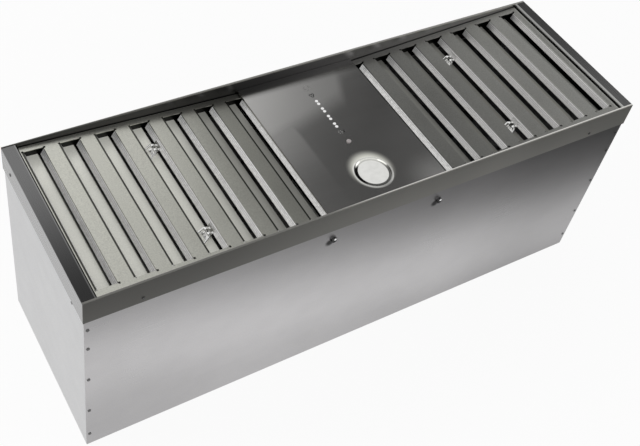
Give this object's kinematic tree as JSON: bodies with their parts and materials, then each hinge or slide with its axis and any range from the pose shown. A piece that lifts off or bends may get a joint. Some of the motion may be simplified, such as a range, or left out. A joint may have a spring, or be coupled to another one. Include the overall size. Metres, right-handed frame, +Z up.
{
  "type": "range hood insert",
  "caption": "Steel range hood insert with tilted slotted baffle filters, a centre control and lamp panel, and a ducted blower inside.",
  "frame": {"origin": "centre of the closed top plate, on which the insert stands upside down as it was pictured", "axes": "+X along the long side, -Y to the front with the lamp, +Z up to the filter side, which faces down in use"},
  "size_m": [0.9016, 0.2784, 0.34],
  "materials": {
    "galvanised_sheet": "bare sheet with a soft satin grain",
    "brushed_rim": "brushed along the length",
    "brushed_panel": "dark brushed grain across the panel",
    "filter_sheet": "satin pressed sheet",
    "bright_wire": "bright plated",
    "zinc_fastener": "dull zinc",
    "plated_trim": "satin plated",
    "lamp_glass": "frosted, lit from behind",
    "indicator_white": "clear white light windows",
    "grey_plastic": "moulded",
    "black_plastic": "moulded",
    "board_green": "lacquered board",
    "white_plastic": "moulded",
    "cast_aluminium": "plain",
    "wheel_plastic": "moulded",
    "motor_paint": "satin enamel",
    "steel_bar": "ground bar",
    "black_rubber": "matt"
  },
  "bodies": {
    "case": {"front_wall": "galvanised_sheet", "back_wall": "galvanised_sheet", "left_wall": "galvanised_sheet", "right_wall": "galvanised_sheet", "top_plate": "galvanised_sheet", "front_rim": "brushed_rim", "back_rim": "brushed_rim", "left_rim": "brushed_rim", "right_rim": "brushed_rim", "corner_rivets": "zinc_fastener", "rim_rivets": "zinc_fastener", "bracket_screws": "zinc_fastener", "filter_rails": "galvanised_sheet", "filter_catches": "zinc_fastener", "centre_panel": "brushed_panel", "panel_brackets": "galvanised_sheet", "indicator_windows": "indicator_white", "control_box": "grey_plastic", "control_board": "board_green", "button_switch": "black_plastic", "lamp_ring": "plated_trim", "lamp_lens": "lamp_glass", "lamp_housing": "cast_aluminium", "led_board": "white_plastic", "lamp_heat_sink": "cast_aluminium", "lamp_driver": "white_plastic", "blower_wrapper": "galvanised_sheet", "blower_left_side": "galvanised_sheet", "blower_right_side": "galvanised_sheet", "inlet_rings": "plated_trim", "blower_feet": "galvanised_sheet", "fan_motor": "motor_paint", "motor_bracket": "galvanised_sheet", "run_capacitor": "white_plastic", "outlet_adapter": "galvanised_sheet", "outlet_collar": "galvanised_sheet", "damper_rod": "steel_bar", "terminal_box": "grey_plastic", "terminal_box_cover": "grey_plastic", "terminal_block": "white_plastic", "cable_grommet": "black_rubber", "control_cables": "black_rubber", "motor_cable": "black_rubber"},
    "left_filter": {"left_filter_face": "filter_sheet", "left_filter_baffles": "filter_sheet", "left_filter_frame": "filter_sheet", "left_filter_clips": "bright_wire"},
    "right_filter": {"right_filter_face": "filter_sheet", "right_filter_baffles": "filter_sheet", "right_filter_frame": "filter_sheet", "right_filter_clips": "bright_wire"},
    "left_front_bail": {"left_front_bail": "bright_wire"},
    "left_back_bail": {"left_back_bail": "bright_wire"},
    "right_front_bail": {"right_front_bail": "bright_wire"},
    "right_back_bail": {"right_back_bail": "bright_wire"},
    "fan_wheel": {"impeller": "wheel_plastic", "fan_shaft": "steel_bar"},
    "front_flap": {"damper_flap_front": "cast_aluminium"},
    "back_flap": {"damper_flap_back": "cast_aluminium"},
    "button_cap": {"push_button": "plated_trim"}
  },
  "joints": [
    {"name": "left_filter_tip", "type": "hinge", "parent": "case", "child": "left_filter", "pos_m": [-0.0984, 0, 0.3186], "axis": [0, 1, 0], "range_deg": [0, 48]},
    {"name": "left_front_bail_lift", "type": "hinge", "parent": "left_filter", "child": "left_front_bail", "pos_m": [-0.2568, -0.08, 0.31461], "axis": [0, 1, 0], "range_deg": [0, 115]},
    {"name": "left_back_bail_lift", "type": "hinge", "parent": "left_filter", "child": "left_back_bail", "pos_m": [-0.2568, 0.082, 0.31461], "axis": [0, 1, 0], "range_deg": [0, 115]},
    {"name": "right_filter_tip", "type": "hinge", "parent": "case", "child": "right_filter", "pos_m": [0.0984, 0, 0.3186], "axis": [0, -1, 0], "range_deg": [0, 48]},
    {"name": "right_front_bail_lift", "type": "hinge", "parent": "right_filter", "child": "right_front_bail", "pos_m": [0.2588, -0.08, 0.31471], "axis": [0, 1, 0], "range_deg": [0, 115]},
    {"name": "right_back_bail_lift", "type": "hinge", "parent": "right_filter", "child": "right_back_bail", "pos_m": [0.2588, 0.082, 0.31471], "axis": [0, 1, 0], "range_deg": [0, 115]},
    {"name": "fan_spin", "type": "hinge", "parent": "case", "child": "fan_wheel", "pos_m": [0, -0.05, 0.176], "axis": [1, 0, 0], "continuous": true},
    {"name": "front_flap_swing", "type": "hinge", "parent": "case", "child": "front_flap", "pos_m": [0, 0, 0.077], "axis": [1, 0, 0], "range_deg": [0, 75], "stiffness_Nm_per_rad": 0.012, "springref_deg": -57.3},
    {"name": "back_flap_swing", "type": "hinge", "parent": "case", "child": "back_flap", "pos_m": [0, 0, 0.077], "axis": [-1, 0, 0], "range_deg": [0, 75], "stiffness_Nm_per_rad": 0.012, "springref_deg": -57.3},
    {"name": "button_press", "type": "slide", "parent": "case", "child": "button_cap", "axis": [0, 0, -1], "range_m": [0, 0.0012], "stiffness_N_per_m": 150, "springref_m": -0.002}
  ]
}
